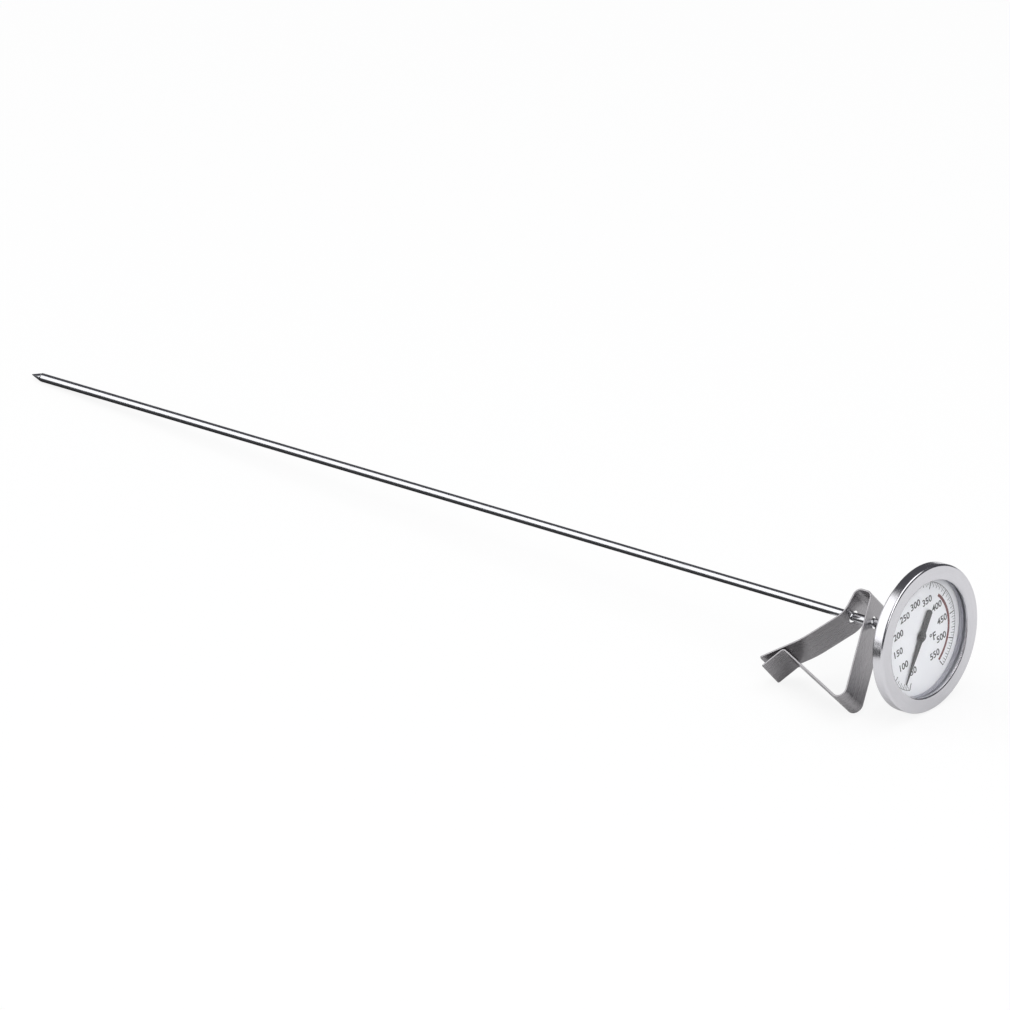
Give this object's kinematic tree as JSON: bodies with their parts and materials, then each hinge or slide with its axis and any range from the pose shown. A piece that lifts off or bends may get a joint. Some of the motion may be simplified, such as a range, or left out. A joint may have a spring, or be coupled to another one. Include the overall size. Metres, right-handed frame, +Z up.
{
  "type": "dial thermometer",
  "caption": "Bimetal dial thermometer with a thin round head, a long thin pointed stem and a sliding spring-steel clip for the wall of a pot or pan.",
  "frame": {"origin": "on the ground, below the middle of the whole object as it lies on its rim, the end of its stem and one edge of its clip", "axes": "+X runs level along the stem from tip to head, +Y to three o'clock on the dial, +Z up; the stem itself rises 3.61 degrees from tip to head"},
  "size_m": [0.3954, 0.0534, 0.0518],
  "materials": {
    "bezel_steel": "satin stainless, fine turning marks round the ring",
    "case_steel": "pressed stainless, dull",
    "stem_steel": "ground and polished stainless tube",
    "nut_steel": "machined stainless",
    "spring_steel": "rolled spring stainless with a lengthwise grain",
    "shaft_steel": "drawn wire",
    "bimetal_strip": "rolled bimetal, faint straw tint",
    "turned_brass": "turned",
    "spacer_plastic": "grey moulded plastic, satin",
    "dial_print": "white enamel with printed scale",
    "pointer_black": "matt black lacquer",
    "seal_rubber": "matt moulded rubber",
    "seal_silicone": "grey moulded silicone",
    "window_glass": "clear flat glass"
  },
  "bodies": {
    "probe": {"stem_tube": "stem_steel", "tip_plug": "stem_steel", "coil_anchor": "turned_brass", "bimetal_coil": "bimetal_strip", "shaft_guide_1": "turned_brass", "shaft_guide_2": "turned_brass", "shaft_guide_3": "turned_brass", "shaft_guide_4": "turned_brass", "top_bearing": "turned_brass", "hub_ferrule": "turned_brass", "calibration_nut": "nut_steel"},
    "head": {"bezel_ring": "bezel_steel", "lens_gasket": "seal_silicone", "lens": "window_glass", "dial_spacer_ring": "spacer_plastic", "dial_plate": "dial_print", "case_back": "case_steel", "friction_washer": "spring_steel", "hub_seal": "seal_rubber"},
    "hand": {"pointer": "pointer_black", "pointer_boss": "pointer_black", "pointer_shaft": "shaft_steel", "coil_collar": "turned_brass"},
    "clip": {"vessel_clip": "spring_steel"}
  },
  "joints": [
    {"name": "calibration_turn", "type": "hinge", "parent": "probe", "child": "head", "pos_m": [0.19117, 0.00073, 0.02574], "axis": [0.998, 0, 0.0629], "continuous": true},
    {"name": "pointer_turn", "type": "hinge", "parent": "probe", "child": "hand", "pos_m": [0.19117, 0.00073, 0.02574], "axis": [-0.998, 0, -0.0629], "range_deg": [-23, 290], "stiffness_Nm_per_rad": 0.00005},
    {"name": "clip_slide", "type": "slide", "parent": "probe", "child": "clip", "axis": [0.998, 0, 0.0629], "range_m": [-0.35, 0.0086]}
  ]
}
